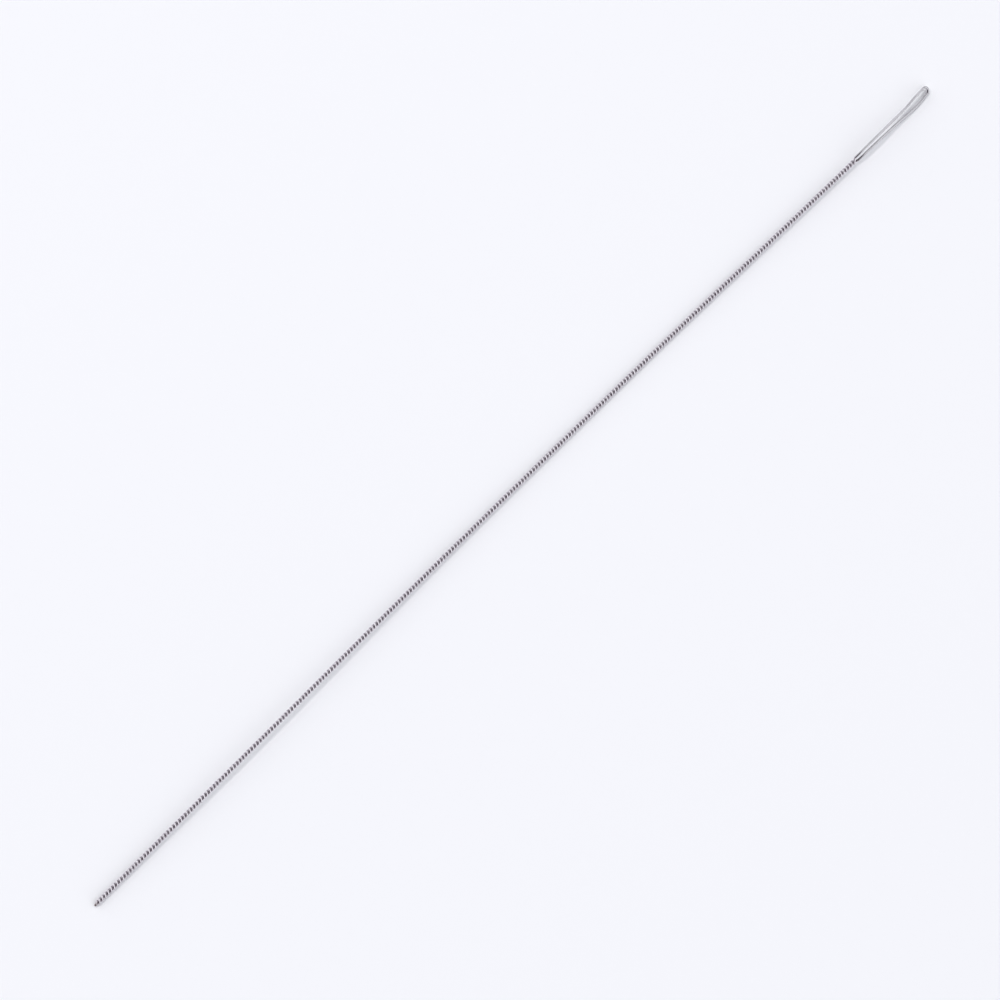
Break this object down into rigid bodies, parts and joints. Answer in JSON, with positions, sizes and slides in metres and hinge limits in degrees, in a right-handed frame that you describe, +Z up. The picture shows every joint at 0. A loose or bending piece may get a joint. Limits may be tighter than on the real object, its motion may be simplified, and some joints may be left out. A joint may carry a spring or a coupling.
{
  "type": "needle threader",
  "caption": "Long slim threader of one folded steel wire: a twisted springy shaft with a point at one end and a narrow collapsible eye at the other.",
  "frame": {"origin": "on the surface that the threader lies on, under the middle of its box", "axes": "+X from the point to the eye, +Z up from the surface, +Y to the left of someone looking from the point to the eye"},
  "size_m": [0.127, 0.0014, 0.0013],
  "materials": {
    "shaft_wire": "bright drawn steel wire, twisted",
    "eye_wire": "bright drawn steel wire"
  },
  "bodies": {
    "shaft_1": {"strand_a_1": "shaft_wire", "strand_b_1": "shaft_wire"},
    "shaft_2": {"strand_a_2": "shaft_wire", "strand_b_2": "shaft_wire"},
    "shaft_3": {"strand_a_3": "shaft_wire", "strand_b_3": "shaft_wire"},
    "shaft_4": {"strand_a_4": "shaft_wire", "strand_b_4": "shaft_wire"},
    "shaft_5": {"strand_a_5": "shaft_wire", "strand_b_5": "shaft_wire", "throat_left": "eye_wire", "throat_right": "eye_wire"},
    "flank_left": {"flank_left": "eye_wire"},
    "flank_right": {"flank_right": "eye_wire"},
    "bow_left": {"bow_left": "eye_wire"},
    "bow_right": {"bow_right": "eye_wire"}
  },
  "joints": [
    {"name": "shaft_flex", "type": "hinge", "parent": "shaft_3", "child": "shaft_4", "pos_m": [0.0061, 0.0004, 0.00034], "axis": [0, 0, 1], "range_deg": [-20, 20], "stiffness_Nm_per_rad": 0.0036},
    {"name": "shaft_flex_eye_end", "type": "hinge", "parent": "shaft_4", "child": "shaft_5", "pos_m": [0.0293, 0.00024, 0.00031], "axis": [0, 0, 1], "range_deg": [-20, 20], "stiffness_Nm_per_rad": 0.0036},
    {"name": "shaft_flex_middle", "type": "hinge", "parent": "shaft_3", "child": "shaft_2", "pos_m": [-0.0171, 0.00039, 0.00062], "axis": [0, 0, 1], "range_deg": [-20, 20], "stiffness_Nm_per_rad": 0.0036},
    {"name": "shaft_flex_point_end", "type": "hinge", "parent": "shaft_2", "child": "shaft_1", "pos_m": [-0.0403, 0.00017, 0.00087], "axis": [0, 0, 1], "range_deg": [-20, 20], "stiffness_Nm_per_rad": 0.0036},
    {"name": "eye_squeeze", "type": "hinge", "parent": "shaft_5", "child": "flank_left", "pos_m": [0.05876, 0.00012, 0.00091], "axis": [-0.036, 0.6424, -0.7655], "range_deg": [-2, 6], "stiffness_Nm_per_rad": 0.00005},
    {"name": "eye_squeeze_right", "type": "hinge", "parent": "shaft_5", "child": "flank_right", "pos_m": [0.05876, -0.00042, 0.00046], "axis": [0.036, -0.6424, 0.7655], "range_deg": [-1.4, 3.8], "stiffness_Nm_per_rad": 0.00005},
    {"name": "bow_open_left", "type": "hinge", "parent": "flank_left", "child": "bow_left", "pos_m": [0.06171, 0.00028, 0.00083], "axis": [0.036, -0.6424, 0.7655], "range_deg": [-6.1, 17.9], "stiffness_Nm_per_rad": 0.00002},
    {"name": "bow_open_right", "type": "hinge", "parent": "flank_right", "child": "bow_right", "pos_m": [0.06171, -0.00053, 0.00014], "axis": [-0.036, 0.6424, -0.7655], "range_deg": [-3.1, 8.9], "stiffness_Nm_per_rad": 0.00002}
  ],
  "couplings": [
    {"joint": "shaft_flex_eye_end", "follows": "shaft_flex", "ratio": 1},
    {"joint": "shaft_flex_middle", "follows": "shaft_flex", "ratio": -1},
    {"joint": "shaft_flex_point_end", "follows": "shaft_flex", "ratio": -1},
    {"joint": "eye_squeeze_right", "follows": "eye_squeeze", "ratio": 0.6},
    {"joint": "bow_open_left", "follows": "eye_squeeze", "ratio": 2.95},
    {"joint": "bow_open_right", "follows": "eye_squeeze", "ratio": 1.45}
  ]
}
